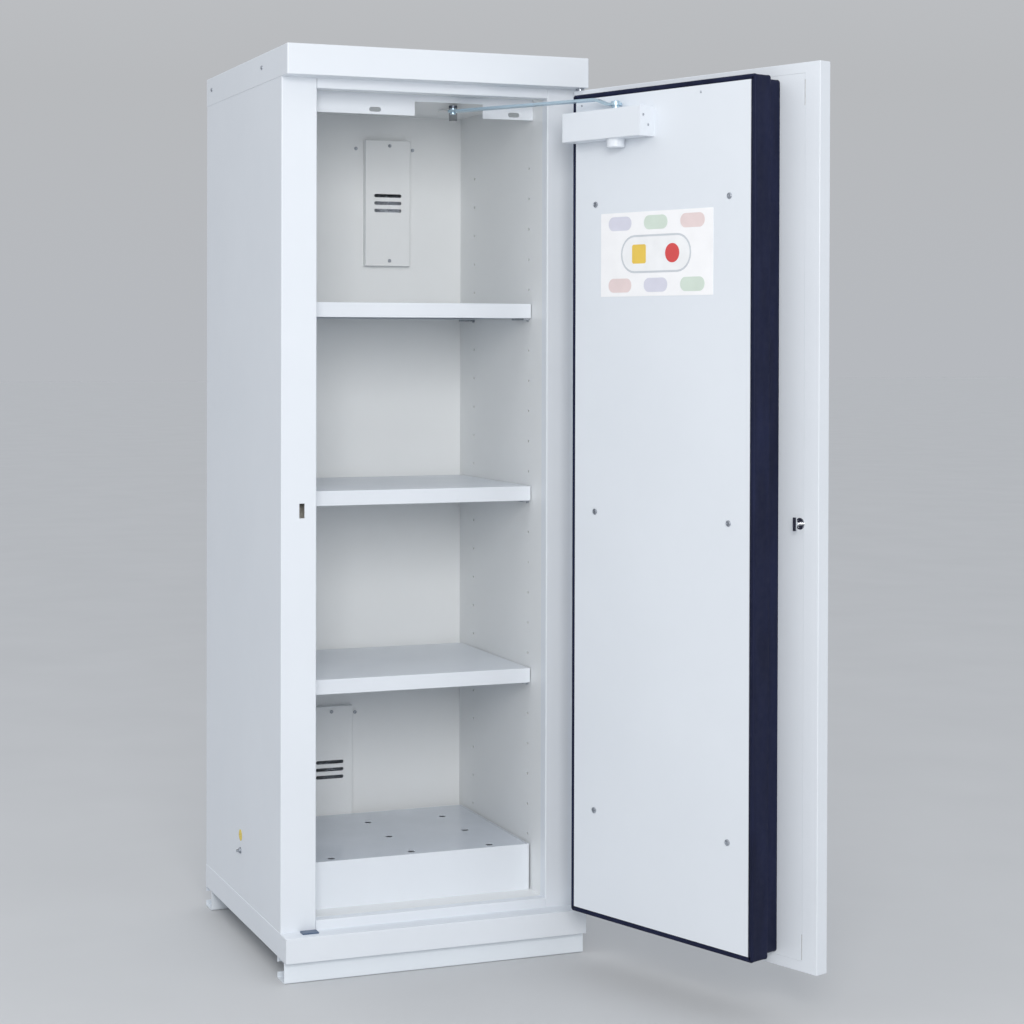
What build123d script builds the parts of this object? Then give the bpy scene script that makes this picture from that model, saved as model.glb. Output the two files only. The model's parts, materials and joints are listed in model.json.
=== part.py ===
from build123d import *
import os
from math import cos, radians, sin

# Flammable storage cabinet, in millimetres. +Z is up and the front faces -Y. The origin is on
# the floor, at the centre of the footprint. The door stands open at DOOR_OPEN degrees, and its
# pieces are drawn in closed-door coordinates on the turned plane DOOR.

# Overall size
WIDTH = 660.0
DEPTH = 650.0
CAP_TOP = 1890.0
SIDE = WIDTH / 2
FRONT = -DEPTH / 2
BACK = DEPTH / 2
SHEET = 1.5
BEND = 2.5
GAP = 0.3

# Heights of the stacked parts of the housing
PLINTH_TOP = 45.0
BASE_TOP = 95.0
BODY_TOP = 1828.0

# Plinth channels
PLINTH_SHEET = 2.0
PLINTH_DEPTH = 50.0
PLINTH_LIP = 12.0
PLINTH_FRONT = FRONT + 17
PLINTH_REAR = BACK - PLINTH_DEPTH
TIE_HALF_WIDTH = 30.0
TIE_THICK = 3.0

# Folded body, set back behind the door
BODY_SIDE = SIDE - 1
BODY_FRONT = FRONT + 44
JAMB_REAR = BODY_FRONT + 26
REAR_LIP = 30.0
RIM = 25.0
GLIDE = (-271.5, -293.5)
GLIDE_LENGTH = 35.0
GLIDE_WIDTH = 23.0
GLIDE_THICK = 2.5

# Inner compartment
OPENING = 254.0
FLOOR = 115.0
HEAD = 1807.0
CEILING = 1812.0
BACK_WALL = 225.0

# Shelves, their pin holes and the sump
PIN_RADIUS = 3.0
PIN_FIRST = 230.0
PIN_PITCH = 65.3
PIN_ROWS = 23
PIN_COLUMNS = (-183.0, 137.0)
SHELF_HALF_WIDTH = 252.0
SHELF_FRONT = -202.0
SHELF_REAR = 205.0
SHELF_HEIGHT = 31.0
SHELF_LIP = 14.0
GROOVE_HALF = 6.0
GROOVE_DEPTH = 10.0
SUPPORT_LENGTH = 66.0
SUPPORT_WIDTH = 14.0
SUPPORT_LEAD = 5.0
SUPPORT_PIN = 11.0
SUPPORT_HEIGHT = 4.0
SHELF_PIN_ROWS = {"shelf_upper": 17, "shelf_middle": 11, "shelf_lower": 5}
TRAY_HALF_WIDTH = 250.0
TRAY_FRONT = -203.0
TRAY_TOP = 213.0
INSERT_Z = 211.0
INSERT_GAP = 1.0
LEDGE_WIDTH = 8.0
WELD_GAP = 0.1
LEDGE_DEPTH = 4.0
DRAIN_CENTRE = (-11.0, -35.0)
DRAIN_PITCH = (178.0, 143.0)
DRAIN_RADIUS = 8.0

# Closing strip under the ceiling, with a notch for the closer's arm
VALANCE_Y = -204.5
VALANCE_LEGS = 1768.0
NOTCH_LEFT = -16.0
NOTCH_RIGHT = 138.0
NOTCH_TOP = 1798.0
VALANCE_SLOTS = (-104.0, 209.0)
VALANCE_SLOT_Z = VALANCE_LEGS + 10
VALANCE_FLANGE = 20.0

# Ventilation: a short exhaust duct behind the top of the back wall and a long intake duct that
# comes out near the floor, each behind a slotted cover and under a spigot with a damper
EXHAUST_X = 68.0
INTAKE_X = -70.0
COVER_HALF = 54.0
COVER_HEIGHT = 288.0
COVER_FACE = BACK_WALL - 18
COVER_TOPS = {"exhaust_cover": 1755.0, "intake_cover": 460.0}
COVER_PLACES = {"exhaust_cover": EXHAUST_X, "intake_cover": INTAKE_X}
COVER_SLOTS = (127.0, 144.0, 161.0)
COVER_SLOT_LENGTH = 66.0
COVER_SLOT_WIDTH = 8.0
PORT_HALF = 38.0
PORT_FIRST = 110.0
PORT_LAST = 180.0
SPIGOT_Y = 275.0
SPIGOT_RADIUS = 37.5
SPIGOT_TOP = CAP_TOP + 40
SPIGOT_FLANGE = 14.0
FLANGE_THICK = 2.0
DUCT_HALF = 42.0
DUCT_TOP = 1780.0
BLADE_Z = 1850.0
BLADE_THICK = 2.0
BLADE_GAP = 0.8
AXLE_RADIUS = 3.0

# Screws, as places on the face that they hold down
CAP_SCREW_Z = 1862.0
CAP_SCREWS = (-139.0, 276.0)
WALL_SCREWS = [(-4, 1736), (134, 1736), (-4, 441), (-142, 441)]
COVER_SCREW = (4.0, 12.0)
PANEL_SCREWS = [(x, z) for x in (180, -180) for z in (1573, 948, 338)]
PANEL_PINS = [(106, 1777), (-221, 1777)]

# Earthing point on the left side
EARTH = (-27.0, 194.0)
STICKER = (-27.0, 227.0)

# Door and its pivot
DOOR_OPEN = 110.0
PIVOT_X = 321.0
PIVOT_Y = -300.0
PIN_R = 5.0
RUNNING_FIT = 0.05
BUSH_HOLE = 7.5
BUSH_SHANK = 7.4
BUSH_FLANGE = 9.0
BUSH_LENGTH = 15.0
HINGE_BLOCK = 32.0
HINGE_POCKET = 34.0
DOOR_OUTER = -321.0
DOOR_INNER = -291.0
DOOR_BOTTOM = 100.0
DOOR_TOP = 1823.0
RETURN_FLANGE = 35.5
END_FLANGE = 20.0
BLOCK_STEP = -253.0
BLOCK_FACE = -209.0
BLOCK_LEFT = -243.0
BLOCK_RIGHT = 249.0
BLOCK_BOTTOM = 119.0
BLOCK_TOP = 1801.0
SEAL_RIM = 11.0
PANEL_FACE = BLOCK_FACE + SHEET
TIER_MID = (-(BLOCK_LEFT + BLOCK_RIGHT) / 2, (BLOCK_BOTTOM + BLOCK_TOP) / 2)
TIER_WIDTH = BLOCK_RIGHT - BLOCK_LEFT
TIER_HEIGHT = BLOCK_TOP - BLOCK_BOTTOM
LABEL = (-12.5, 1469.0)
LABEL_WIDTH = 303.0
LABEL_HEIGHT = 168.0

# Door closer and its linkage
CLOSER_LEFT = 17.0
CLOSER_RIGHT = 235.0
CLOSER_BOTTOM = 1700.0
CLOSER_TOP = 1759.0
CLOSER_FACE = PANEL_FACE + 42
SPINDLE_X = 106.0
SPINDLE_Y = -189.0
SPINDLE_RADIUS = 8.0
SPINDLE_NECK = SPINDLE_RADIUS - 2
END_CAP = 3.0
ARM_LENGTH = 407.0
ARM_ANGLE = 122.2
ARM_HUB_Z = 1767.0
ARM_Z = 1779.0
ARM_WIDTH = 22.0
ARM_THICK = 5.0
FOREARM_Z = 1788.0
FOREARM_WIDTH = 18.0
SHOE_X = 164.3
SHOE_Y = 41.1
SHOE_PIN = 4.0
SHOE_BOSS = 6.5

# Lock and handle
LOCK_X = -285.0
LOCK_Z = 950.0
SLOT_HALF_WIDTH = 5.5
SLOT_HALF_HEIGHT = 15.0
LOCK_BARREL = 11.0
LOCK_HOLE = 11.2
LOCK_PLUG = 8.0
HANDLE_X = -257.0
HANDLE_LOW = 1000.0
HANDLE_HIGH = 1180.0
HANDLE_REACH = 38.0
HANDLE_RADIUS = 6.5

UP = (Align.CENTER, Align.CENTER, Align.MIN)


def turned_plane(pivot_x, pivot_y, angle):
    """The XY plane turned about a vertical axis, which keeps the coordinates of what it carries."""
    c = cos(radians(angle))
    s = sin(radians(angle))
    origin_x = pivot_x - c * pivot_x + s * pivot_y
    origin_y = pivot_y - s * pivot_x - c * pivot_y
    return Plane(origin=(origin_x, origin_y, 0), x_dir=(c, s, 0), z_dir=(0, 0, 1))


DOOR = turned_plane(PIVOT_X, PIVOT_Y, DOOR_OPEN)
LEFT_FACE = Plane(origin=(0, 0, 0), x_dir=(0, -1, 0), z_dir=(-1, 0, 0))
RIGHT_FACE = Plane(origin=(0, 0, 0), x_dir=(0, 1, 0), z_dir=(1, 0, 0))


def door_face(y):
    """A plane parallel to the door at closed-door depth y, facing into the cabinet."""
    return Plane(origin=DOOR.from_local_coords((0, y, 0)), x_dir=-DOOR.x_dir, z_dir=DOOR.y_dir)


def box(x0, x1, y0, y1, z0, z1, mode=Mode.ADD):
    """A box between two corners, in the workplane of the part being made."""
    with Locations(((x0 + x1) / 2, (y0 + y1) / 2, (z0 + z1) / 2)):
        Box(x1 - x0, y1 - y0, z1 - z0, mode=mode)


def post(x, y, z0, z1, radius, mode=Mode.ADD):
    """An upright cylinder."""
    with Locations((x, y, z0)):
        Cylinder(radius, z1 - z0, align=UP, mode=mode)


def folded(points, start, end, plane, side=Side.LEFT, sheet=SHEET, bend=BEND):
    """Sheet metal bent along points, its outer face on them, extruded between two offsets."""
    with BuildSketch(plane.offset(start)) as profile:
        with BuildLine():
            FilletPolyline(*points, radius=bend)
            offset(amount=sheet, side=side)
        make_face()
    extrude(profile.sketch, amount=end - start)


def disc(plane, place, radius, thick, mode=Mode.ADD):
    """A round disc on a plane, or a round hole into it."""
    with BuildSketch(plane) as outline:
        with Locations(place):
            Circle(radius)
    extrude(outline.sketch, amount=thick, mode=mode)


def cross_bore(x, y, z, radius, length):
    """A hole through the door's thickness, centred on a point."""
    with Locations(Location((x, y, z), (90, 0, 0))):
        Cylinder(radius, length, mode=Mode.SUBTRACT)


def screws(plane, points, radius, height):
    """Pan-head screws with a cross recess, their heads standing on a plane."""
    for x, y in points:
        seat = plane.location * Location((x, y, 0))
        with Locations(seat):
            Cylinder(radius, height * 0.55, align=UP)
        with Locations(seat * Location((0, 0, height * 0.55))):
            Cone(radius, radius * 0.72, height * 0.45, align=UP)
        with Locations(seat * Location((0, 0, height * 0.5))):
            Box(radius * 1.1, radius * 0.26, height, align=UP, mode=Mode.SUBTRACT)
            Box(radius * 0.26, radius * 1.1, height, align=UP, mode=Mode.SUBTRACT)


def save(builder, name):
    """Labels a finished piece and writes it under its node's name."""
    builder.part.label = name
    export_step(builder.part, f"parts/{name}.step")


os.makedirs("parts", exist_ok=True)

# ---- Plinth ----


def plinth_channel(web, sign):
    """Channel with its web at the front and two lips, open at both ends."""
    rear = web + PLINTH_DEPTH
    folded(
        [(rear, PLINTH_LIP), (rear, 0), (web, 0), (web, PLINTH_TOP), (rear, PLINTH_TOP),
         (rear, PLINTH_TOP - PLINTH_LIP)],
        -BODY_SIDE, BODY_SIDE, Plane.YZ, side=sign, sheet=PLINTH_SHEET, bend=3.0)


with BuildPart() as plinth_front:
    plinth_channel(PLINTH_FRONT, Side.RIGHT)
save(plinth_front, "plinth_front")

with BuildPart() as plinth_rear:
    plinth_channel(PLINTH_REAR, Side.RIGHT)
save(plinth_rear, "plinth_rear")

with BuildPart() as plinth_tie:
    box(-TIE_HALF_WIDTH, TIE_HALF_WIDTH, PLINTH_FRONT + PLINTH_DEPTH, PLINTH_REAR, 0, TIE_THICK)
save(plinth_tie, "plinth_tie")

# ---- Base ----

with BuildPart() as base_pan:
    box(-SIDE, SIDE, FRONT, BACK, PLINTH_TOP, BASE_TOP)
    fillet(base_pan.edges().filter_by(Axis.Z), radius=BEND)
    fillet(base_pan.edges().group_by(Axis.Z)[-1], radius=1.2)
    box(-SIDE + SHEET, SIDE - SHEET, FRONT + SHEET, BACK - SHEET,
        PLINTH_TOP + SHEET, BASE_TOP - SHEET, mode=Mode.SUBTRACT)
    box(-SIDE + RIM, SIDE - RIM, JAMB_REAR, BACK - RIM,
        BASE_TOP - SHEET, BASE_TOP, mode=Mode.SUBTRACT)
    post(PIVOT_X, PIVOT_Y, BASE_TOP - SHEET, BASE_TOP, BUSH_HOLE, mode=Mode.SUBTRACT)
save(base_pan, "base_pan")

with BuildPart() as glide_pad:
    with BuildSketch(Plane.XY.offset(BASE_TOP)):
        with Locations(GLIDE):
            RectangleRounded(GLIDE_LENGTH, GLIDE_WIDTH, 3)
    extrude(amount=GLIDE_THICK)
    fillet(glide_pad.edges().group_by(Axis.Z)[-1], radius=1.0)
save(glide_pad, "glide_pad")

# ---- Folded body ----


def side_panel(sign, side):
    """Side sheet folded round the front post and into the jamb, with a rear lip."""
    folded(
        [(sign * (BODY_SIDE - REAR_LIP), BACK), (sign * BODY_SIDE, BACK),
         (sign * BODY_SIDE, BODY_FRONT), (sign * OPENING, BODY_FRONT), (sign * OPENING, JAMB_REAR)],
        BASE_TOP, BODY_TOP, Plane.XY, side=side)


with BuildPart() as side_panel_left:
    side_panel(-1, Side.LEFT)
    box(LOCK_X - SLOT_HALF_WIDTH, LOCK_X + SLOT_HALF_WIDTH, BODY_FRONT, BODY_FRONT + SHEET,
        LOCK_Z - SLOT_HALF_HEIGHT, LOCK_Z + SLOT_HALF_HEIGHT, mode=Mode.SUBTRACT)
save(side_panel_left, "side_panel_left")

with BuildPart() as side_panel_right:
    side_panel(1, Side.RIGHT)
save(side_panel_right, "side_panel_right")

with BuildPart() as back_panel:
    half = BODY_SIDE - REAR_LIP - GAP
    box(-half, half, BACK - SHEET, BACK, BASE_TOP, BODY_TOP)
save(back_panel, "back_panel")

with BuildPart() as head_rail:
    folded(
        [(BODY_FRONT, BODY_TOP), (BODY_FRONT, HEAD), (JAMB_REAR, HEAD), (JAMB_REAR, CEILING + SHEET)],
        -OPENING, OPENING, Plane.YZ, bend=2.0)
save(head_rail, "head_rail")

with BuildPart() as sill_rail:
    folded(
        [(JAMB_REAR, FLOOR - SHEET - 4), (JAMB_REAR, FLOOR), (BODY_FRONT, FLOOR), (BODY_FRONT, BASE_TOP)],
        -OPENING, OPENING, Plane.YZ, bend=2.0)
save(sill_rail, "sill_rail")

with BuildPart() as top_cap:
    box(-SIDE, SIDE, FRONT, BACK, BODY_TOP, CAP_TOP)
    fillet(top_cap.edges().filter_by(Axis.Z), radius=3.0)
    fillet(top_cap.edges().group_by(Axis.Z)[-1], radius=2.0)
    fillet(top_cap.edges().group_by(Axis.Z)[0].sort_by(Axis.Y)[0], radius=1.2)
    box(-SIDE + SHEET, SIDE - SHEET, FRONT + SHEET, BACK - SHEET,
        BODY_TOP + SHEET, CAP_TOP - SHEET, mode=Mode.SUBTRACT)
    box(-SIDE + SHEET, SIDE - SHEET, BODY_FRONT + SHEET, BACK - SHEET,
        BODY_TOP, BODY_TOP + SHEET, mode=Mode.SUBTRACT)
    post(PIVOT_X, PIVOT_Y, BODY_TOP, BODY_TOP + SHEET, BUSH_HOLE, mode=Mode.SUBTRACT)
    for spigot_x in (INTAKE_X, EXHAUST_X):
        post(spigot_x, SPIGOT_Y, CAP_TOP - SHEET, CAP_TOP, SPIGOT_RADIUS + 0.5, mode=Mode.SUBTRACT)
save(top_cap, "top_cap")

# ---- Fire insulation between the body and the liner ----


def side_insulation(sign):
    """Board between a side panel and its liner, grooved behind the two rows of pin holes."""
    inner = OPENING + SHEET + GAP
    outer = BODY_SIDE - SHEET - GAP
    x0, x1 = sorted((sign * inner, sign * outer))
    box(x0, x1, JAMB_REAR + 15, BACK - SHEET - GAP, BASE_TOP + GAP, CEILING)
    g0, g1 = sorted((sign * inner, sign * (inner + GROOVE_DEPTH)))
    for column in PIN_COLUMNS:
        box(g0, g1, column - GROOVE_HALF, column + GROOVE_HALF, PIN_FIRST - 20, CEILING - 100,
            mode=Mode.SUBTRACT)


with BuildPart() as insulation_left:
    side_insulation(-1)
save(insulation_left, "insulation_left")

with BuildPart() as insulation_right:
    side_insulation(1)
save(insulation_right, "insulation_right")

with BuildPart() as insulation_back:
    box(-OPENING - SHEET, OPENING + SHEET, BACK_WALL + SHEET + GAP, BACK - SHEET - GAP,
        BASE_TOP + GAP, CEILING)
    pocket = DUCT_HALF + GAP
    for cover, duct_x in COVER_PLACES.items():
        box(duct_x - pocket, duct_x + pocket, BACK_WALL, SPIGOT_Y + pocket,
            COVER_TOPS[cover] - PORT_LAST - GAP, CEILING, mode=Mode.SUBTRACT)
save(insulation_back, "insulation_back")

INSULATION_HALF = BODY_SIDE - SHEET - GAP

with BuildPart() as insulation_top:
    box(-INSULATION_HALF, INSULATION_HALF, JAMB_REAR + GAP, BACK - SHEET - GAP,
        CEILING + SHEET + GAP, BODY_TOP + GAP)
    box(-INSULATION_HALF, INSULATION_HALF, BODY_FRONT + 2 * SHEET, BACK - SHEET - GAP,
        BODY_TOP + GAP, CAP_TOP - SHEET - GAP)
    for spigot_x in (INTAKE_X, EXHAUST_X):
        post(spigot_x, SPIGOT_Y, CEILING, CAP_TOP, DUCT_HALF, mode=Mode.SUBTRACT)
save(insulation_top, "insulation_top")

with BuildPart() as insulation_bottom:
    box(-INSULATION_HALF, INSULATION_HALF, BODY_FRONT, BACK - 2 * SHEET,
        PLINTH_TOP + SHEET + GAP, BASE_TOP - SHEET - GAP)
    box(-OPENING, OPENING, JAMB_REAR + GAP, BACK_WALL, BASE_TOP - SHEET - GAP, FLOOR - SHEET - GAP)
save(insulation_bottom, "insulation_bottom")

# ---- Liner of the compartment ----


def side_liner(sign):
    """Inner side wall with its two columns of shelf pin holes."""
    x0, x1 = sorted((sign * OPENING, sign * (OPENING + SHEET)))
    box(x0, x1, JAMB_REAR, BACK_WALL, FLOOR - SHEET, CEILING + SHEET)
    holes = [(column, PIN_FIRST + row * PIN_PITCH) for column in PIN_COLUMNS for row in range(PIN_ROWS)]
    with BuildSketch(Plane.YZ.offset(x0)) as profile:
        with Locations(*holes):
            Circle(PIN_RADIUS)
    extrude(profile.sketch, amount=SHEET, mode=Mode.SUBTRACT)


with BuildPart() as liner_left:
    side_liner(-1)
save(liner_left, "liner_left")

with BuildPart() as liner_right:
    side_liner(1)
save(liner_right, "liner_right")

with BuildPart() as liner_back:
    box(-OPENING - SHEET, OPENING + SHEET, BACK_WALL, BACK_WALL + SHEET, FLOOR - SHEET, CEILING + SHEET)
    for cover, duct_x in COVER_PLACES.items():
        box(duct_x - PORT_HALF, duct_x + PORT_HALF, BACK_WALL, BACK_WALL + SHEET,
            COVER_TOPS[cover] - PORT_LAST + 2, COVER_TOPS[cover] - PORT_FIRST, mode=Mode.SUBTRACT)
save(liner_back, "liner_back")

with BuildPart() as liner_top:
    box(-OPENING, OPENING, JAMB_REAR, BACK_WALL, CEILING, CEILING + SHEET)
save(liner_top, "liner_top")

with BuildPart() as liner_bottom:
    box(-OPENING, OPENING, JAMB_REAR, BACK_WALL, FLOOR - SHEET, FLOOR)
save(liner_bottom, "liner_bottom")

# ---- Shelves and their supports ----

with BuildPart() as shelf_supports:
    for pin_row in SHELF_PIN_ROWS.values():
        pin_z = PIN_FIRST + pin_row * PIN_PITCH
        for sign in (-1, 1):
            x0, x1 = sorted((sign * (OPENING - GAP), sign * (OPENING - SUPPORT_WIDTH)))
            for column in PIN_COLUMNS:
                lead = column - SUPPORT_LEAD
                box(x0, x1, lead, lead + SUPPORT_LENGTH, pin_z, pin_z + SUPPORT_HEIGHT)
                with Locations(Location((sign * (OPENING - 4), column, pin_z), (0, sign * 90, 0))):
                    Cylinder(PIN_RADIUS - RUNNING_FIT, SUPPORT_PIN, align=UP)
save(shelf_supports, "shelf_supports")

for name, pin_row in SHELF_PIN_ROWS.items():
    z = PIN_FIRST + pin_row * PIN_PITCH + SUPPORT_HEIGHT
    with BuildPart() as shelf:
        box(-SHELF_HALF_WIDTH, SHELF_HALF_WIDTH, SHELF_FRONT, SHELF_REAR, z, z + SHELF_HEIGHT)
        fillet(shelf.edges().filter_by(Axis.Z), radius=2.0)
        fillet(shelf.edges().group_by(Axis.Z)[-1], radius=1.2)
        fillet(shelf.edges().group_by(Axis.Z)[0].sort_by(Axis.Y)[0], radius=1.0)
        box(-SHELF_HALF_WIDTH + SHEET, SHELF_HALF_WIDTH - SHEET, SHELF_FRONT + SHEET, SHELF_REAR - SHEET,
            z + SHEET, z + SHELF_HEIGHT - SHEET, mode=Mode.SUBTRACT)
        box(-SHELF_HALF_WIDTH + SHELF_LIP, SHELF_HALF_WIDTH - SHELF_LIP,
            SHELF_FRONT + SHELF_LIP, SHELF_REAR - SHELF_LIP, z, z + SHEET, mode=Mode.SUBTRACT)
    save(shelf, name)

# ---- Sump tray and its perforated insert ----

with BuildPart() as sump_tray:
    box(-TRAY_HALF_WIDTH, TRAY_HALF_WIDTH, TRAY_FRONT, -TRAY_FRONT, FLOOR, TRAY_TOP)
    fillet(sump_tray.edges().filter_by(Axis.Z), radius=2.0)
    box(-TRAY_HALF_WIDTH + SHEET, TRAY_HALF_WIDTH - SHEET, TRAY_FRONT + SHEET, -TRAY_FRONT - SHEET,
        FLOOR + SHEET, TRAY_TOP, mode=Mode.SUBTRACT)
    # Two strips spot-welded inside the walls carry the insert
    strip_half = TRAY_HALF_WIDTH - SHEET - WELD_GAP
    for sign in (-1, 1):
        y0, y1 = sorted((sign * (TRAY_FRONT + SHEET + WELD_GAP), sign * (TRAY_FRONT + LEDGE_WIDTH)))
        box(-strip_half, strip_half, y0, y1, INSERT_Z - LEDGE_DEPTH, INSERT_Z)
save(sump_tray, "sump_tray")

with BuildPart() as sump_insert:
    half = TRAY_HALF_WIDTH - SHEET - INSERT_GAP
    front = TRAY_FRONT + SHEET + INSERT_GAP
    box(-half, half, front, -front, INSERT_Z, INSERT_Z + SHEET)
    with BuildSketch(Plane.XY.offset(INSERT_Z)):
        with Locations(DRAIN_CENTRE):
            with GridLocations(*DRAIN_PITCH, 3, 3):
                Circle(DRAIN_RADIUS)
    extrude(amount=SHEET, mode=Mode.SUBTRACT)
save(sump_insert, "sump_insert")

# ---- Valance under the ceiling ----

with BuildPart() as valance:
    edge = OPENING - 0.5
    box(-edge, edge, VALANCE_Y, VALANCE_Y + SHEET, VALANCE_LEGS, CEILING)
    box(-edge, edge, VALANCE_Y, VALANCE_Y + VALANCE_FLANGE, CEILING - SHEET, CEILING)
    box(NOTCH_LEFT, NOTCH_RIGHT, VALANCE_Y, VALANCE_Y + SHEET, VALANCE_LEGS, NOTCH_TOP, mode=Mode.SUBTRACT)
    with BuildSketch(Plane.XZ.offset(-VALANCE_Y)):
        with Locations(*[(x, VALANCE_SLOT_Z) for x in VALANCE_SLOTS]):
            SlotOverall(26, 10)
    extrude(amount=-SHEET, mode=Mode.SUBTRACT)
save(valance, "valance")

# ---- Ventilation ----

for cover_name, duct_x in COVER_PLACES.items():
    top = COVER_TOPS[cover_name]
    with BuildPart() as cover:
        box(duct_x - COVER_HALF, duct_x + COVER_HALF, COVER_FACE, BACK_WALL, top - COVER_HEIGHT, top)
        fillet(cover.edges().group_by(Axis.Y)[0], radius=1.2)
        box(duct_x - COVER_HALF + SHEET, duct_x + COVER_HALF - SHEET, COVER_FACE + SHEET, BACK_WALL,
            top - COVER_HEIGHT + SHEET, top - SHEET, mode=Mode.SUBTRACT)
        with BuildSketch(Plane.XZ.offset(-COVER_FACE)) as slots:
            with Locations(*[(duct_x, top - drop) for drop in COVER_SLOTS]):
                SlotOverall(COVER_SLOT_LENGTH, COVER_SLOT_WIDTH)
        extrude(slots.sketch, amount=-SHEET, mode=Mode.SUBTRACT)
    save(cover, cover_name)

with BuildPart() as cabinet_screws:
    screws(LEFT_FACE.offset(SIDE), [(-y, CAP_SCREW_Z) for y in CAP_SCREWS], 4.5, 2.4)
    screws(RIGHT_FACE.offset(SIDE), [(y, CAP_SCREW_Z) for y in CAP_SCREWS], 4.5, 2.4)
    screws(Plane.XZ.offset(-BACK_WALL), WALL_SCREWS, 4.0, 2.2)
    for cover_name, duct_x in COVER_PLACES.items():
        high = COVER_TOPS[cover_name] - COVER_SCREW[1]
        low = COVER_TOPS[cover_name] - COVER_HEIGHT + COVER_SCREW[1]
        face_screws = [(duct_x + COVER_SCREW[0], z) for z in (high, low)]
        screws(Plane.XZ.offset(-COVER_FACE), face_screws, 4.0, 2.2)
save(cabinet_screws, "cabinet_screws")

with BuildPart() as vent_ducts:
    inside = DUCT_HALF - SHEET
    for cover_name, duct_x in COVER_PLACES.items():
        foot = COVER_TOPS[cover_name] - PORT_LAST
        box(duct_x - DUCT_HALF, duct_x + DUCT_HALF, BACK_WALL + SHEET, SPIGOT_Y + DUCT_HALF,
            foot, DUCT_TOP)
        box(duct_x - inside, duct_x + inside, BACK_WALL + 2 * SHEET, SPIGOT_Y + inside,
            foot + SHEET, DUCT_TOP - SHEET, mode=Mode.SUBTRACT)
        box(duct_x - PORT_HALF, duct_x + PORT_HALF, BACK_WALL + SHEET, BACK_WALL + 2 * SHEET,
            foot + 2, COVER_TOPS[cover_name] - PORT_FIRST, mode=Mode.SUBTRACT)
        post(duct_x, SPIGOT_Y, DUCT_TOP - SHEET, DUCT_TOP, SPIGOT_RADIUS + RUNNING_FIT,
             mode=Mode.SUBTRACT)
save(vent_ducts, "vent_ducts")

for spigot_name, blade_name, spigot_x in (("intake_spigot", "intake_damper", INTAKE_X),
                                          ("exhaust_spigot", "exhaust_damper", EXHAUST_X)):
    with BuildPart() as spigot:
        post(spigot_x, SPIGOT_Y, DUCT_TOP - SHEET, SPIGOT_TOP, SPIGOT_RADIUS)
        post(spigot_x, SPIGOT_Y, CAP_TOP, CAP_TOP + FLANGE_THICK, SPIGOT_RADIUS + SPIGOT_FLANGE)
        post(spigot_x, SPIGOT_Y, DUCT_TOP - SHEET, SPIGOT_TOP, SPIGOT_RADIUS - SHEET, mode=Mode.SUBTRACT)
        with Locations(Location((spigot_x, SPIGOT_Y, BLADE_Z), (0, 90, 0))):
            Cylinder(AXLE_RADIUS + RUNNING_FIT, 2 * SPIGOT_RADIUS + 2, mode=Mode.SUBTRACT)
    save(spigot, spigot_name)
    with BuildPart() as blade:
        with Locations(Location((spigot_x, SPIGOT_Y, BLADE_Z), (90, 0, 0))):
            Cylinder(SPIGOT_RADIUS - SHEET - BLADE_GAP, BLADE_THICK)
        with Locations(Location((spigot_x, SPIGOT_Y, BLADE_Z), (0, 90, 0))):
            Cylinder(AXLE_RADIUS, 2 * SPIGOT_RADIUS + 3)
    save(blade, blade_name)

# ---- Earthing point: washer, nut and M6 stud, under a round sticker ----

with BuildPart() as earth_terminal:
    disc(LEFT_FACE.offset(BODY_SIDE), EARTH, 7, 1)
    with BuildSketch(LEFT_FACE.offset(BODY_SIDE + 1)):
        with Locations(EARTH):
            RegularPolygon(5.8, 6)
    extrude(amount=3)
    disc(LEFT_FACE.offset(BODY_SIDE + 4), EARTH, 3, 5)
save(earth_terminal, "earth_terminal")

with BuildPart() as earth_sticker:
    disc(LEFT_FACE.offset(BODY_SIDE), STICKER, 12, 0.4)
save(earth_sticker, "earth_sticker")

# ---- Door: a flat pan with boards and a stepped, sealed block ----

with BuildPart(DOOR) as door_skin:
    box(-SIDE, SIDE, DOOR_OUTER, DOOR_INNER, DOOR_BOTTOM, DOOR_TOP)
    fillet(door_skin.edges(), radius=1.4)
    box(-SIDE + SHEET, SIDE - SHEET, DOOR_OUTER + SHEET, DOOR_INNER - SHEET,
        DOOR_BOTTOM + SHEET, DOOR_TOP - SHEET, mode=Mode.SUBTRACT)
    window = SIDE - RETURN_FLANGE
    box(-window, window, DOOR_INNER - SHEET, DOOR_INNER,
        DOOR_BOTTOM + END_FLANGE, DOOR_TOP - END_FLANGE, mode=Mode.SUBTRACT)
    post(PIVOT_X, PIVOT_Y, DOOR_BOTTOM, DOOR_BOTTOM + SHEET, PIN_R + RUNNING_FIT, mode=Mode.SUBTRACT)
    post(PIVOT_X, PIVOT_Y, DOOR_TOP - SHEET, DOOR_TOP, PIN_R + RUNNING_FIT, mode=Mode.SUBTRACT)
    cross_bore(LOCK_X, DOOR_OUTER, LOCK_Z, LOCK_HOLE, 80)
save(door_skin, "door_skin")

with BuildPart(DOOR) as door_board:
    edge = SIDE - SHEET - GAP
    box(-edge, edge, DOOR_OUTER + SHEET + GAP, DOOR_INNER - SHEET - GAP,
        DOOR_BOTTOM + SHEET + GAP, DOOR_TOP - SHEET - GAP)
    for z0, z1 in ((DOOR_BOTTOM, DOOR_BOTTOM + HINGE_POCKET), (DOOR_TOP - HINGE_POCKET, DOOR_TOP)):
        box(PIVOT_X - 17, SIDE, DOOR_OUTER, DOOR_INNER, z0, z1, mode=Mode.SUBTRACT)
    cross_bore(LOCK_X, DOOR_OUTER, LOCK_Z, LOCK_BARREL + 1, 80)
save(door_board, "door_board")

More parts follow.
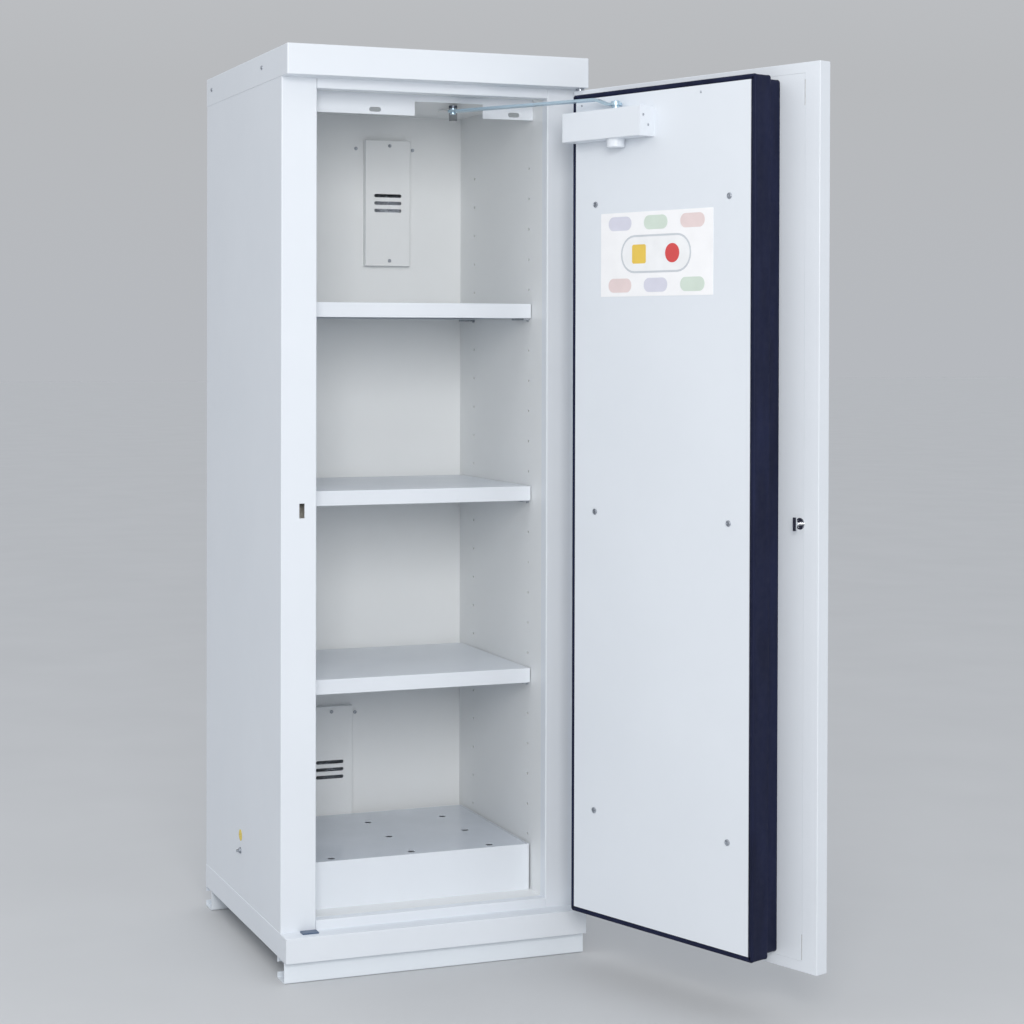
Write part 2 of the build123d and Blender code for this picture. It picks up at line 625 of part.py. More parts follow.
with BuildPart(DOOR) as door_inner_sheet:
    edge = SIDE - RETURN_FLANGE - GAP
    bottom = DOOR_BOTTOM + END_FLANGE + GAP
    top = DOOR_TOP - END_FLANGE - GAP
    box(-edge, edge, DOOR_INNER - SHEET, DOOR_INNER, bottom, top)
    for z0, z1 in ((bottom + 2, bottom + 51), (top - 61, top - 12)):
        box(-edge, -edge + 1.8, DOOR_INNER - SHEET, DOOR_INNER, z0, z1, mode=Mode.SUBTRACT)
    cross_bore(LOCK_X, DOOR_INNER, LOCK_Z, LOCK_HOLE, 10)
save(door_inner_sheet, "door_inner_sheet")

with BuildPart() as door_block_base:
    with BuildSketch(door_face(DOOR_INNER)):
        with Locations(TIER_MID):
            RectangleRounded(TIER_WIDTH - 20, TIER_HEIGHT - 10, 8)
    extrude(amount=BLOCK_STEP - DOOR_INNER)
save(door_block_base, "door_block_base")

with BuildPart() as door_seal:
    with BuildSketch(door_face(BLOCK_STEP)):
        with Locations(TIER_MID):
            RectangleRounded(TIER_WIDTH, TIER_HEIGHT, 6)
            Rectangle(TIER_WIDTH - 2 * SEAL_RIM, TIER_HEIGHT - 2 * SEAL_RIM, mode=Mode.SUBTRACT)
    extrude(amount=BLOCK_FACE - BLOCK_STEP)
save(door_seal, "door_seal")

with BuildPart(DOOR) as door_core:
    box(BLOCK_LEFT + SEAL_RIM + GAP, BLOCK_RIGHT - SEAL_RIM - GAP, BLOCK_STEP, BLOCK_FACE,
        BLOCK_BOTTOM + SEAL_RIM + GAP, BLOCK_TOP - SEAL_RIM - GAP)
save(door_core, "door_core")

with BuildPart(DOOR) as inner_panel:
    box(BLOCK_LEFT + SEAL_RIM, BLOCK_RIGHT - SEAL_RIM, BLOCK_FACE, PANEL_FACE,
        BLOCK_BOTTOM + SEAL_RIM, BLOCK_TOP - SEAL_RIM)
save(inner_panel, "inner_panel")

with BuildPart() as door_screws:
    screws(door_face(PANEL_FACE), PANEL_SCREWS, 6.0, 2.4)
    screws(door_face(PANEL_FACE), PANEL_PINS, 2.2, 1.0)
    for x, facing in ((CLOSER_LEFT, -1), (CLOSER_RIGHT, 1)):
        end_face = Plane(origin=DOOR.from_local_coords((x, CLOSER_FACE, 0)),
                         x_dir=facing * DOOR.y_dir, z_dir=facing * DOOR.x_dir)
        screws(end_face, [(-facing * 10, 1741), (-facing * 24, 1722)], 2.4, 1.2)
save(door_screws, "door_screws")

with BuildPart() as label_plate:
    with BuildSketch(door_face(PANEL_FACE)):
        with Locations(LABEL):
            RectangleRounded(LABEL_WIDTH, LABEL_HEIGHT, 1)
    extrude(amount=0.5)
save(label_plate, "label_plate")

# ---- Hinge ----

with BuildPart(DOOR) as hinge_blocks:
    low = (DOOR_BOTTOM + SHEET, DOOR_BOTTOM + HINGE_BLOCK)
    high = (DOOR_TOP - HINGE_BLOCK, DOOR_TOP - SHEET)
    for z0, z1 in (low, high):
        box(PIVOT_X - 15, SIDE - SHEET - GAP, DOOR_OUTER + SHEET + GAP, DOOR_INNER - SHEET - GAP, z0, z1)
        post(PIVOT_X, PIVOT_Y, z0, z1, PIN_R + RUNNING_FIT, mode=Mode.SUBTRACT)
save(hinge_blocks, "hinge_blocks")

with BuildPart() as pivot_pins:
    post(PIVOT_X, PIVOT_Y, BASE_TOP - BUSH_LENGTH + 2, DOOR_BOTTOM + HINGE_BLOCK, PIN_R)
    post(PIVOT_X, PIVOT_Y, DOOR_TOP - HINGE_BLOCK, BODY_TOP + BUSH_LENGTH - 2, PIN_R)
save(pivot_pins, "pivot_pins")

with BuildPart() as hinge_bushes:
    post(PIVOT_X, PIVOT_Y, BASE_TOP - BUSH_LENGTH, BASE_TOP, BUSH_SHANK)
    post(PIVOT_X, PIVOT_Y, BASE_TOP, DOOR_BOTTOM - 0.4, BUSH_FLANGE)
    post(PIVOT_X, PIVOT_Y, BODY_TOP, BODY_TOP + BUSH_LENGTH, BUSH_SHANK)
    post(PIVOT_X, PIVOT_Y, DOOR_TOP + 0.4, BODY_TOP, BUSH_FLANGE)
    post(PIVOT_X, PIVOT_Y, BASE_TOP - 20, BODY_TOP + 20, PIN_R + RUNNING_FIT, mode=Mode.SUBTRACT)
save(hinge_bushes, "hinge_bushes")

# ---- Handle and lock ----

with BuildPart() as pull_handle:
    with BuildLine(DOOR) as bow:
        FilletPolyline(
            (HANDLE_X, DOOR_OUTER, HANDLE_LOW), (HANDLE_X, DOOR_OUTER - HANDLE_REACH, HANDLE_LOW),
            (HANDLE_X, DOOR_OUTER - HANDLE_REACH, HANDLE_HIGH), (HANDLE_X, DOOR_OUTER, HANDLE_HIGH),
            radius=14)
    with BuildSketch(bow.line ^ 0):
        Circle(HANDLE_RADIUS)
    sweep()
save(pull_handle, "pull_handle")

LOCK = (-LOCK_X, LOCK_Z)

with BuildPart() as lock_housing:
    disc(door_face(DOOR_INNER), LOCK, LOCK_BARREL, DOOR_OUTER - DOOR_INNER)
    disc(door_face(DOOR_OUTER), LOCK, LOCK_BARREL + 5, -3)
    disc(door_face(DOOR_INNER), LOCK, LOCK_PLUG + RUNNING_FIT, DOOR_OUTER - DOOR_INNER - 3,
         mode=Mode.SUBTRACT)
save(lock_housing, "lock_housing")

with BuildPart() as lock_plug:
    disc(door_face(DOOR_OUTER - 5), LOCK, LOCK_PLUG, DOOR_INNER - DOOR_OUTER + 4)
    disc(door_face(DOOR_INNER - 1), LOCK, 3.5, 16)
    with BuildSketch(door_face(BODY_FRONT + 3)):
        with Locations(LOCK):
            RectangleRounded(8, 26, 2)
    extrude(amount=3)
    with BuildSketch(door_face(DOOR_OUTER - 5)):
        with Locations(LOCK):
            Rectangle(1.6, 9)
    extrude(amount=4, mode=Mode.SUBTRACT)
save(lock_plug, "lock_plug")

# ---- Door closer ----

with BuildPart(DOOR) as closer_body:
    box(CLOSER_LEFT + END_CAP, CLOSER_RIGHT - END_CAP, PANEL_FACE, CLOSER_FACE, CLOSER_BOTTOM, CLOSER_TOP)
    fillet(closer_body.edges().filter_by(Axis((0, 0, 0), DOOR.x_dir)), radius=1.5)
    post(SPINDLE_X, SPINDLE_Y, CLOSER_BOTTOM, CLOSER_TOP, SPINDLE_RADIUS + RUNNING_FIT, mode=Mode.SUBTRACT)
save(closer_body, "closer_body")

with BuildPart(DOOR) as closer_end_caps:
    box(CLOSER_LEFT, CLOSER_LEFT + END_CAP, PANEL_FACE, CLOSER_FACE, CLOSER_BOTTOM, CLOSER_TOP)
    box(CLOSER_RIGHT - END_CAP, CLOSER_RIGHT, PANEL_FACE, CLOSER_FACE, CLOSER_BOTTOM, CLOSER_TOP)
save(closer_end_caps, "closer_end_caps")

with BuildPart(DOOR) as spindle_cap:
    post(SPINDLE_X, SPINDLE_Y, CLOSER_BOTTOM - 17, CLOSER_BOTTOM, 18)
    fillet(spindle_cap.edges().group_by(Axis.Z)[0], radius=1.5)
save(spindle_cap, "spindle_cap")

with BuildPart(DOOR) as closer_spindle:
    post(SPINDLE_X, SPINDLE_Y, CLOSER_BOTTOM + 1, ARM_HUB_Z, SPINDLE_RADIUS)
    post(SPINDLE_X, SPINDLE_Y, ARM_HUB_Z, ARM_HUB_Z + ARM_THICK, SPINDLE_NECK)
    post(SPINDLE_X, SPINDLE_Y, ARM_HUB_Z + ARM_THICK, ARM_HUB_Z + ARM_THICK + 4, SPINDLE_RADIUS + 1)
    fillet(closer_spindle.edges().group_by(Axis.Z)[-1], radius=1.2)
save(closer_spindle, "closer_spindle")

# Linkage: the main arm hangs on the spindle, the forearm on the shoe under the ceiling. They
# meet at the elbow, where the loop is open: the arm's stud ends just below the forearm.

SPINDLE = DOOR.from_local_coords((SPINDLE_X, SPINDLE_Y, 0))
ARM_X = cos(radians(ARM_ANGLE))
ARM_Y = sin(radians(ARM_ANGLE))
ELBOW_X = SPINDLE.X + ARM_LENGTH * ARM_X
ELBOW_Y = SPINDLE.Y + ARM_LENGTH * ARM_Y
ARM_PLANE = Plane(origin=(SPINDLE.X, SPINDLE.Y, 0), x_dir=(ARM_X, ARM_Y, 0), z_dir=(0, 0, 1))
ARM_SIDE = Plane(origin=(SPINDLE.X, SPINDLE.Y, 0), x_dir=(ARM_X, ARM_Y, 0), z_dir=(ARM_Y, -ARM_X, 0))

with BuildPart(ARM_PLANE) as main_arm:
    with BuildSketch(ARM_SIDE) as profile:
        with BuildLine():
            FilletPolyline((0, ARM_HUB_Z), (16, ARM_HUB_Z), (46, ARM_Z), (ARM_LENGTH, ARM_Z), radius=8)
            offset(amount=ARM_THICK, side=Side.LEFT)
        make_face()
    extrude(profile.sketch, amount=ARM_WIDTH / 2, both=True)
    post(0, 0, ARM_HUB_Z, ARM_HUB_Z + ARM_THICK, ARM_WIDTH / 2 + 2)
    post(ARM_LENGTH, 0, ARM_Z, ARM_Z + ARM_THICK, ARM_WIDTH / 2)
    post(ARM_LENGTH, 0, ARM_Z - 4, FOREARM_Z - 0.8, 6)
    post(0, 0, ARM_HUB_Z, ARM_HUB_Z + ARM_THICK, SPINDLE_NECK + RUNNING_FIT, mode=Mode.SUBTRACT)
save(main_arm, "main_arm")

FOREARM_LENGTH = ((SHOE_X - ELBOW_X) ** 2 + (SHOE_Y - ELBOW_Y) ** 2) ** 0.5
FOREARM_PLANE = Plane(origin=(ELBOW_X, ELBOW_Y, 0), x_dir=(SHOE_X - ELBOW_X, SHOE_Y - ELBOW_Y, 0),
                      z_dir=(0, 0, 1))

with BuildPart(FOREARM_PLANE) as forearm:
    box(0, FOREARM_LENGTH, -FOREARM_WIDTH / 2, FOREARM_WIDTH / 2, FOREARM_Z, FOREARM_Z + ARM_THICK)
    post(0, 0, FOREARM_Z, FOREARM_Z + ARM_THICK, FOREARM_WIDTH / 2)
    post(FOREARM_LENGTH, 0, FOREARM_Z, FOREARM_Z + ARM_THICK, FOREARM_WIDTH / 2)
    post(FOREARM_LENGTH, 0, FOREARM_Z, FOREARM_Z + ARM_THICK, SHOE_PIN + RUNNING_FIT, mode=Mode.SUBTRACT)
save(forearm, "forearm")

with BuildPart() as arm_shoe:
    box(SHOE_X - 30, SHOE_X + 30, SHOE_Y - 18, SHOE_Y + 18, CEILING - 3, CEILING)
    fillet(arm_shoe.edges().filter_by(Axis.Z), radius=5)
    post(SHOE_X, SHOE_Y, FOREARM_Z + ARM_THICK + 0.5, CEILING, SHOE_BOSS)
    post(SHOE_X, SHOE_Y, FOREARM_Z - 0.5, FOREARM_Z + ARM_THICK + 0.5, SHOE_PIN)
    post(SHOE_X, SHOE_Y, FOREARM_Z - 2, FOREARM_Z - 0.5, SHOE_BOSS)
save(arm_shoe, "arm_shoe")

print("elbow at rest", round(ELBOW_X, 2), round(ELBOW_Y, 2), "forearm length", round(FOREARM_LENGTH, 2))
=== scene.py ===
import json
import math

import bmesh
import bpy
from mathutils import Matrix, Vector, noise


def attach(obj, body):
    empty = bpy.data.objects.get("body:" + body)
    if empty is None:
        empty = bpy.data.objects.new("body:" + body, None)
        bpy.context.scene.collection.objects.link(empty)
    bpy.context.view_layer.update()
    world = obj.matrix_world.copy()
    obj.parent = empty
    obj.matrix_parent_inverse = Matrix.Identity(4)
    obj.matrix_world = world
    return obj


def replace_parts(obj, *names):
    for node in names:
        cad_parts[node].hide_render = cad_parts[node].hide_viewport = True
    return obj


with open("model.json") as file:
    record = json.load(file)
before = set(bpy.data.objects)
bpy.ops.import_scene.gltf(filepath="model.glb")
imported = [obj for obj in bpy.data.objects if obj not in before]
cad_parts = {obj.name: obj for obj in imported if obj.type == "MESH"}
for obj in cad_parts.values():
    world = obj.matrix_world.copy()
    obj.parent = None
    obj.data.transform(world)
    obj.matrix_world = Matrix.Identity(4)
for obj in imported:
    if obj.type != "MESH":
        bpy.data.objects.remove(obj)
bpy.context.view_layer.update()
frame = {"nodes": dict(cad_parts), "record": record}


# ---- Materials ----


class Shader:
    """A Principled material and short calls for the nodes that feed it."""

    def __init__(self, name, **values):
        self.material = bpy.data.materials.new(name)
        self.material.use_nodes = True
        self.tree = self.material.node_tree
        self.bsdf = self.tree.nodes["Principled BSDF"]
        for socket, value in values.items():
            self.bsdf.inputs[socket.replace("_", " ")].default_value = value
        self.place = self.tree.nodes.new("ShaderNodeTexCoord").outputs["Object"]

    def link(self, output, socket):
        self.tree.links.new(output, socket)

    def stretched(self, scale, rotation=(0, 0, 0)):
        """Object coordinates turned, then scaled apart along each axis."""
        turn = self.tree.nodes.new("ShaderNodeMapping")
        turn.inputs["Rotation"].default_value = rotation
        self.link(self.place, turn.inputs["Vector"])
        stretch = self.tree.nodes.new("ShaderNodeMapping")
        stretch.inputs["Scale"].default_value = scale
        self.link(turn.outputs["Vector"], stretch.inputs["Vector"])
        return stretch.outputs["Vector"]

    def noise(self, scale, detail=3.0, roughness=0.5, vector=None):
        """Noise with a number of features a metre, in object coordinates unless others are given."""
        node = self.tree.nodes.new("ShaderNodeTexNoise")
        node.inputs["Scale"].default_value = scale
        node.inputs["Detail"].default_value = detail
        node.inputs["Roughness"].default_value = roughness
        self.link(vector or self.place, node.inputs["Vector"])
        return node.outputs["Fac"]

    def cells(self, scale):
        """Distance from the middle of each cell."""
        node = self.tree.nodes.new("ShaderNodeTexVoronoi")
        node.inputs["Scale"].default_value = scale
        self.link(self.place, node.inputs["Vector"])
        return node.outputs["Distance"]

    def spread(self, value, low, high, start=0.3, stop=0.7):
        """A value in start to stop, spread over low to high."""
        node = self.tree.nodes.new("ShaderNodeMapRange")
        for socket, number in (("From Min", start), ("From Max", stop), ("To Min", low), ("To Max", high)):
            node.inputs[socket].default_value = number
        self.link(value, node.inputs["Value"])
        return node.outputs["Result"]

    def tint(self, value, dark, light, start=0.3, stop=0.7):
        """Base colour between dark and light, by a value."""
        ramp = self.tree.nodes.new("ShaderNodeValToRGB")
        ramp.color_ramp.elements[0].position = start
        ramp.color_ramp.elements[0].color = (*dark, 1)
        ramp.color_ramp.elements[1].position = stop
        ramp.color_ramp.elements[1].color = (*light, 1)
        self.link(value, ramp.inputs["Fac"])
        self.link(ramp.outputs["Color"], self.bsdf.inputs["Base Color"])

    def rough(self, value, low, high):
        """Roughness between low and high, by a value."""
        self.link(self.spread(value, low, high), self.bsdf.inputs["Roughness"])

    def bump(self, *layers):
        """Bumps laid on each other, each (height, depth in metres)."""
        normal = None
        for height, depth in layers:
            node = self.tree.nodes.new("ShaderNodeBump")
            node.inputs["Strength"].default_value = 1.0
            node.inputs["Distance"].default_value = depth
            self.link(height, node.inputs["Height"])
            if normal:
                self.link(normal, node.inputs["Normal"])
            normal = node.outputs["Normal"]
        self.link(normal, self.bsdf.inputs["Normal"])


SATIN = (0.34, 0.44)
EGGSHELL = (0.40, 0.52)
GLOSSY = (0.10, 0.20)
SMOOTH_PEEL = 0.00002


def paint(name, dark, light, roughness=SATIN, peel=0.00005):
    """Powder-coated steel: orange peel, faint clouding and a slightly uneven gloss."""
    shader = Shader(name)
    shader.tint(shader.noise(3.2, 5, 0.6), dark, light, 0.35, 0.68)
    shader.rough(shader.noise(14, 4, 0.6), *roughness)
    shader.bump((shader.noise(620, 2, 0.5), peel), (shader.noise(45, 2, 0.4), peel * 0.8))
    return shader.material


def fire_board():
    """Pale mineral board with short fibres and pores."""
    shader = Shader("fire_board")
    shader.tint(shader.noise(160, 6, 0.7), (0.46, 0.44, 0.40), (0.72, 0.70, 0.65))
    shader.rough(shader.noise(40), 0.85, 0.97)
    shader.bump((shader.cells(900), 0.0003), (shader.noise(120, 5), 0.0004))
    return shader.material


def navy_foil():
    """Dark blue foil over the sealing strips: fine grain, long soft ripples and a low sheen."""
    shader = Shader("navy_foil", Specular_IOR_Level=0.18)
    ripples = shader.noise(1.0, 4, 0.55, shader.stretched((26, 26, 5)))
    shader.tint(ripples, (0.006, 0.0085, 0.028), (0.011, 0.015, 0.048))
    shader.rough(shader.noise(70, 4, 0.6), 0.50, 0.68)
    shader.bump((shader.noise(1500, 2), 0.00006), (ripples, 0.0012))
    return shader.material


def zinc(name, dark, light):
    """Zinc-plated steel with a fine crystalline flake."""
    shader = Shader(name, Metallic=1.0)
    shader.tint(shader.cells(260), dark, light, 0.1, 0.8)
    shader.rough(shader.noise(180, 3), 0.28, 0.42)
    shader.bump((shader.noise(900, 2), 0.00004))
    return shader.material


def brushed(name, dark, light, angle):
    """Steel bar brushed along its length, which lies at an angle about Z."""
    shader = Shader(name, Metallic=0.85)
    lines = shader.noise(1.0, 4, 0.6, shader.stretched((18, 1500, 1500), (0, 0, -angle)))
    shader.tint(lines, dark, light)
    shader.rough(shader.noise(60, 3), 0.30, 0.42)
    shader.bump((lines, 0.00004))
    return shader.material


PRINTED = {"roughness": (0.35, 0.45), "grain": 0.00002}
STICKER = {"roughness": (0.2, 0.3), "grain": 0.00001}


def plastic(name, dark, light, roughness=(0.3, 0.45), grain=0.00008):
    """Moulded plastic with a spark-eroded grain, or a printed sheet when the grain is finer."""
    shader = Shader(name)
    shader.tint(shader.noise(30, 4), dark, light)
    shader.rough(shader.noise(55, 3), *roughness)
    shader.bump((shader.noise(1100, 2), grain))
    return shader.material


def metal(name, dark, light, roughness):
    """Turned or polished bare metal."""
    shader = Shader(name, Metallic=1.0)
    shader.tint(shader.noise(120, 4), dark, light)
    shader.rough(shader.noise(300, 3), *roughness)
    shader.bump((shader.noise(1400, 2), 0.00002))
    return shader.material


ARM_ANGLE = math.radians(122.2)  # the main arm's direction about Z at rest
MATERIALS = {
    "white_paint": paint("white_paint", (0.76, 0.80, 0.85), (0.78, 0.82, 0.87)),
    "liner_paint": paint("liner_paint", (0.81, 0.83, 0.84), (0.83, 0.85, 0.86), EGGSHELL),
    "plinth_paint": paint("plinth_paint", (0.79, 0.84, 0.89), (0.81, 0.86, 0.91)),
    "fire_board": fire_board(),
    "navy_seal": navy_foil(),
    "zinc_steel": zinc("zinc_steel", (0.30, 0.32, 0.35), (0.52, 0.55, 0.60)),
    "arm_steel": brushed("arm_steel", (0.42, 0.56, 0.66), (0.60, 0.75, 0.85), ARM_ANGLE),
    "aluminium": metal("aluminium", (0.55, 0.56, 0.58), (0.72, 0.73, 0.75), (0.3, 0.45)),
    "chrome": metal("chrome", (0.60, 0.61, 0.63), (0.74, 0.75, 0.77), (0.06, 0.16)),
    "handle_grey": plastic("handle_grey", (0.055, 0.06, 0.07), (0.075, 0.08, 0.095)),
    "label_white": plastic("label_white", (0.93, 0.93, 0.94), (0.97, 0.97, 0.98), **PRINTED),
    "sticker_yellow": plastic("sticker_yellow", (0.72, 0.52, 0.02), (0.85, 0.64, 0.03), **STICKER),
    "glide_blue": plastic("glide_blue", (0.06, 0.10, 0.17), (0.09, 0.14, 0.23)),
}

# Nodes whose finish differs from the rest of their slot
# The forearm's near-black colour is painted shade: it stands in for the dark shaded band along the ceiling
# beside the elbow.
FOREARM_SHADE = zinc("forearm_shade", (0.07, 0.08, 0.10), (0.13, 0.15, 0.18))
FINISHES = {
    "forearm": FOREARM_SHADE,
    "sump_insert": paint("insert_paint", (0.60, 0.65, 0.72), (0.66, 0.71, 0.78), GLOSSY, SMOOTH_PEEL),
}

for subpart in frame["record"]["subparts"]:
    cad_node = frame["nodes"][subpart["node"]]
    finish = FINISHES.get(subpart["node"], MATERIALS[subpart["material_slot"]])
    cad_node.data.materials.clear()
    cad_node.data.materials.append(finish)


# ---- The door's own coordinates ----

DOOR_OPEN = math.radians(110)
PIVOT = Vector((0.321, -0.300, 0))
DOOR_TURN = Matrix.Translation(PIVOT) @ Matrix.Rotation(DOOR_OPEN, 4, "Z") @ Matrix.Translation(-PIVOT)
DOOR_CLOSE = DOOR_TURN.inverted()


def door_box(node):
    """Lowest and highest corners of a CAD node of the door, as if the door were closed."""
    points = [DOOR_CLOSE @ vertex.co for vertex in frame["nodes"][node].data.vertices]
    low = Vector([min(point[axis] for point in points) for axis in range(3)])
    high = Vector([max(point[axis] for point in points) for axis in range(3)])
    return low, high


def new_piece(name, mesh_maker, body, material, smooth=True):
    """A mesh object made by a function that fills a bmesh, riding on a body."""
    mesh = bpy.data.meshes.new(name)
    shape = bmesh.new()
    mesh_maker(shape)
    bmesh.ops.recalc_face_normals(shape, faces=shape.faces)
    shape.to_mesh(mesh)
    shape.free()
    for face in mesh.polygons:
        face.use_smooth = smooth
    mesh.materials.append(material)
    piece = bpy.data.objects.new(name, mesh)
    bpy.context.scene.collection.objects.link(piece)
    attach(piece, body)
    return piece


# ---- Foil round the two tiers of the door's block ----

CORNER_STEPS = 6
FOIL_STEP = 0.010
FOIL_WAVE = 0.0011
FOIL_RIPPLE = 0.00035
EDGE_STEPS = 4
WALL_STEPS = 6
EDGE_WAVINESS = 0.3
SEAL_CORNER = 0.006
BASE_CORNER = 0.008


def outline(width, height, radius):
    """Points round an upright rectangle with rounded corners, each with its outward direction."""
    points = []
    for corner, (side_x, side_z) in enumerate(((1, 1), (-1, 1), (-1, -1), (1, -1))):
        centre = (side_x * (width / 2 - radius), side_z * (height / 2 - radius))
        for step in range(CORNER_STEPS + 1):
            angle = math.pi / 2 * (corner + step / CORNER_STEPS)
            away = (math.cos(angle), math.sin(angle))
            points.append(((centre[0] + radius * away[0], centre[1] + radius * away[1]), away))
    filled = []
    for (start, start_away), (end, _) in zip(points, points[1:] + points[:1]):
        filled.append((start, start_away))
        pieces = int(math.dist(start, end) / FOIL_STEP)
        for step in range(1, pieces):
            share = step / pieces
            place = (start[0] + share * (end[0] - start[0]), start[1] + share * (end[1] - start[1]))
            filled.append((place, start_away))
    return filled


def foil_dip(x, y, z):
    """How far the foil lies under its full size: long waves with short ripples on them."""
    long_wave = noise.noise(Vector((x * 7, y * 9, z * 6)))
    ripple = noise.noise(Vector((x * 45, y * 30, z * 38)) + Vector((5, 5, 5)))
    return FOIL_WAVE * (0.5 + 0.5 * long_wave) + FOIL_RIPPLE * (0.5 + 0.5 * ripple)


def wrap(shape, low, high, radius, profile, capped):
    """Loops round the block, one for each (inset, depth, waviness) of a profile, skinned together."""
    middle = (low + high) / 2
    points = outline(high.x - low.x, high.z - low.z, radius)
    loops = []
    for inset, depth, waviness in profile:
        loop = []
        for (x, z), away in points:
            dip = inset + waviness * foil_dip(x, depth, z)
            place = Vector((middle.x + x - away[0] * dip, depth, middle.z + z - away[1] * dip))
            loop.append(shape.verts.new(DOOR_TURN @ place))
        loops.append(loop)
    pairs = list(zip(loops, loops[1:]))
    if not capped:
        pairs.append((loops[-1], loops[0]))
    for near, far in pairs:
        for i in range(len(near)):
            j = (i + 1) % len(near)
            shape.faces.new((near[i], near[j], far[j], far[i]))
    if capped:
        shape.faces.new(loops[0])
        shape.faces.new(loops[-1])


def rounded_edge(depth_start, depth_end, radius_start, radius_end):
    """Inset, depth and waviness along a side wall with a quarter round at each end."""
    angles = [math.pi / 2 * step / EDGE_STEPS for step in range(EDGE_STEPS + 1)]
    quarter = [(1 - math.sin(angle), 1 - math.cos(angle)) for angle in angles]
    wall_start = depth_start + radius_start
    wall_end = depth_end - radius_end
    profile = []
    for across, along in quarter:
        profile.append((radius_start * across, depth_start + radius_start * along, EDGE_WAVINESS))
    for step in range(1, WALL_STEPS):
        profile.append((0, wall_start + (wall_end - wall_start) * step / WALL_STEPS, 1))
    for across, along in reversed(quarter):
        profile.append((radius_end * across, depth_end - radius_end * along, EDGE_WAVINESS))
    return profile


def seal_foil(shape):
    """Ring round the door's panel, closed behind it."""
    low, high = door_box("door_seal")
    inner = door_box("inner_panel")[0].x - low.x
    profile = rounded_edge(low.y, high.y, 0.002, 0.0025)
    wrap(shape, low, high, SEAL_CORNER, profile + [(inner, high.y, 0), (inner, low.y, 0)], capped=False)


def base_foil(shape):
    """Solid block that the ring stands on."""
    low, high = door_box("door_block_base")
    wrap(shape, low, high, BASE_CORNER, rounded_edge(low.y, high.y, 0.001, 0.002), capped=True)


navy = MATERIALS["navy_seal"]
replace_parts(new_piece("seal_foil", seal_foil, "door", navy), "door_seal")
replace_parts(new_piece("base_foil", base_foil, "door", navy), "door_block_base")


# ---- Blank tiles on the door's label ----

TILE_THICK = 0.00015
ROUND = 0.49  # corner radius as a share of the tile's shorter side
SQUARE = 0.12


def tile(shape, x, z, width, height, level, rounding):
    """A thin tile on the label plate, placed from the label's middle with X to the hinge side."""
    low, high = door_box("label_plate")
    middle = (low + high) / 2
    seat = high.y + level
    rings = []
    for depth in (seat, seat + TILE_THICK):
        ring = []
        for (px, pz), _ in outline(width, height, min(width, height) * rounding):
            ring.append(shape.verts.new(DOOR_TURN @ Vector((middle.x + x + px, depth, middle.z + z + pz))))
        rings.append(ring)
    back, front = rings
    for i in range(len(back)):
        j = (i + 1) % len(back)
        shape.faces.new((back[i], back[j], front[j], front[i]))
    shape.faces.new(back)
    shape.faces.new(front)


def tiles(name, colour, places, level=0.0, rounding=ROUND):
    """All the label's tiles of one colour, as one piece."""
    def fill(shape):
        for place in places:
            tile(shape, *place, level, rounding)
    dark = tuple(channel * 0.94 for channel in colour)
    new_piece(name, fill, "door", plastic(name, dark, colour, **PRINTED), smooth=False)


ROW = 0.062
COLUMN = 0.098
OVAL = (0.064, 0.028)
MARK = (0.038, 0.038)
MARK_X = 0.045
tiles("label_tiles_rose", (0.84, 0.70, 0.69), [(-COLUMN, ROW, *OVAL), (COLUMN, -ROW, *OVAL)])
tiles("label_tiles_green", (0.68, 0.78, 0.69), [(0, ROW, *OVAL), (-COLUMN, -ROW, *OVAL)])
tiles("label_tiles_lilac", (0.72, 0.72, 0.82), [(COLUMN, ROW, *OVAL), (0, -ROW, *OVAL)])
tiles("label_tile_large", (0.62, 0.65, 0.69), [(0, 0, 0.190, 0.076)])
tiles("label_tile_inner", (0.93, 0.94, 0.95), [(0, 0, 0.182, 0.068)], TILE_THICK)
tiles("label_tile_amber", (0.86, 0.60, 0.10), [(MARK_X, 0, *MARK)], 2 * TILE_THICK, SQUARE)
tiles("label_tile_red", (0.72, 0.08, 0.08), [(-MARK_X, 0, *MARK)], 2 * TILE_THICK)


# ---- Floor, light and camera ----

CAMERA_PLACE = Vector((-1.52003, -4.35557, 1.29622))
YAW = math.radians(-20.38)
PITCH = math.radians(-0.61)
ROLL = math.radians(-0.12)
LENS = 73.81
SHIFT = (0.0789, -0.1458)

# Studio light by height: the far floor's own tone at the horizon, so that no seam shows there
HORIZON = (0.468, 0.485, 0.515)
LOW_SKY = (0.478, 0.490, 0.508)
LOW_SKY_HEIGHT = 0.12
ZENITH = (0.837, 0.860, 0.900)
ZENITH_HEIGHT = 0.8

FLOOR_SIZE = 120
FLOOR_DROP = 0.0005


def camera_turn(yaw, pitch, roll):
    """Rotation of a camera from its heading about Z, its tilt and its roll."""
    ahead = Vector((-math.sin(yaw) * math.cos(pitch), math.cos(yaw) * math.cos(pitch), math.sin(pitch)))
    right = Vector((math.cos(yaw), math.sin(yaw), 0))
    down = ahead.cross(right)
    rolled_right = right * math.cos(roll) + down * math.sin(roll)
    rolled_down = down * math.cos(roll) - right * math.sin(roll)
    return Matrix((rolled_right, -rolled_down, -ahead)).transposed()


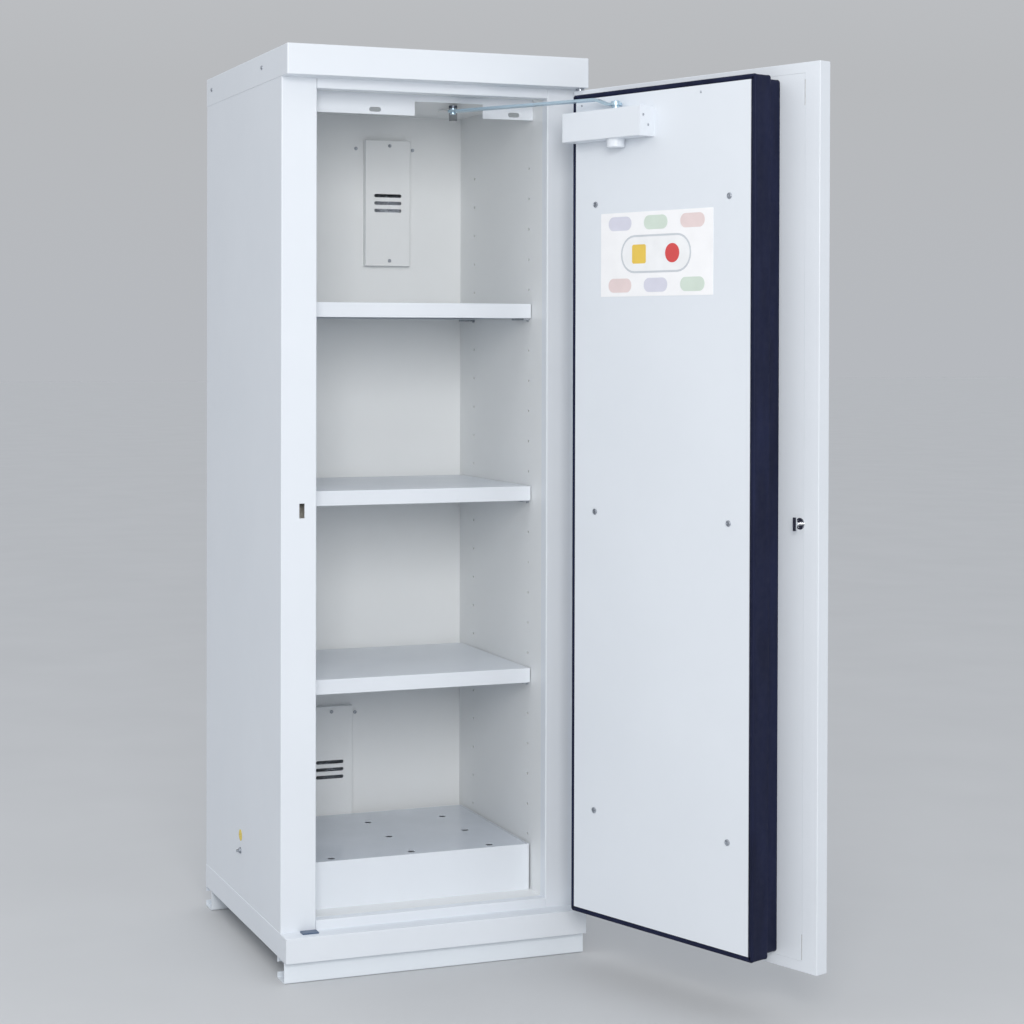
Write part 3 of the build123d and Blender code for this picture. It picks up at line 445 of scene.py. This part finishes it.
def add_camera():
    camera = bpy.data.cameras.new("camera")
    camera.lens = LENS
    camera.shift_x, camera.shift_y = SHIFT
    camera.clip_start = 0.05
    camera.clip_end = 100
    holder = bpy.data.objects.new("camera", camera)
    holder.matrix_world = Matrix.Translation(CAMERA_PLACE) @ camera_turn(YAW, PITCH, ROLL).to_4x4()
    bpy.context.scene.collection.objects.link(holder)
    bpy.context.scene.camera = holder


def add_area(name, place, target, size, power, colour=(1, 1, 1)):
    """A square softbox at a place, facing a target."""
    light = bpy.data.lights.new(name, "AREA")
    light.shape = "SQUARE"
    light.size = size
    light.energy = power
    light.color = colour
    holder = bpy.data.objects.new(name, light)
    holder.location = place
    holder.rotation_euler = (Vector(target) - Vector(place)).to_track_quat("-Z", "Y").to_euler()
    bpy.context.scene.collection.objects.link(holder)


def add_floor():
    bpy.ops.mesh.primitive_plane_add(size=FLOOR_SIZE, location=(0, 0, -FLOOR_DROP))
    floor = bpy.context.object
    floor.name = "floor"
    shader = Shader("floor_paint")
    shader.tint(shader.noise(2), (0.58, 0.59, 0.60), (0.60, 0.61, 0.62))
    shader.rough(shader.noise(5), 0.7, 0.8)
    floor.data.materials.append(shader.material)


def add_world():
    """Soft studio light that is brighter overhead than at the horizon."""
    world = bpy.data.worlds.new("studio")
    bpy.context.scene.world = world
    world.use_nodes = True
    tree = world.node_tree
    background = tree.nodes["Background"]
    coordinates = tree.nodes.new("ShaderNodeTexCoord")
    height = tree.nodes.new("ShaderNodeSeparateXYZ")
    tree.links.new(coordinates.outputs["Generated"], height.inputs["Vector"])
    ramp = tree.nodes.new("ShaderNodeValToRGB")
    stops = ramp.color_ramp.elements
    stops[0].position, stops[0].color = 0.0, (*HORIZON, 1)
    stops[1].position, stops[1].color = ZENITH_HEIGHT, (*ZENITH, 1)
    stops.new(LOW_SKY_HEIGHT).color = (*LOW_SKY, 1)
    tree.links.new(height.outputs["Z"], ramp.inputs["Fac"])
    tree.links.new(ramp.outputs["Color"], background.inputs["Color"])


add_camera()
add_floor()
add_world()
add_area("key", (-1.4, -4.5, 2.3), (0.1, 0, 1.35), size=1.8, power=98, colour=(1.0, 0.985, 0.965))
add_area("side_fill", (-2.2, -0.8, 2.9), (0, 0, 1.5), size=1.2, power=5)
bpy.context.scene.view_settings.view_transform = "Standard"
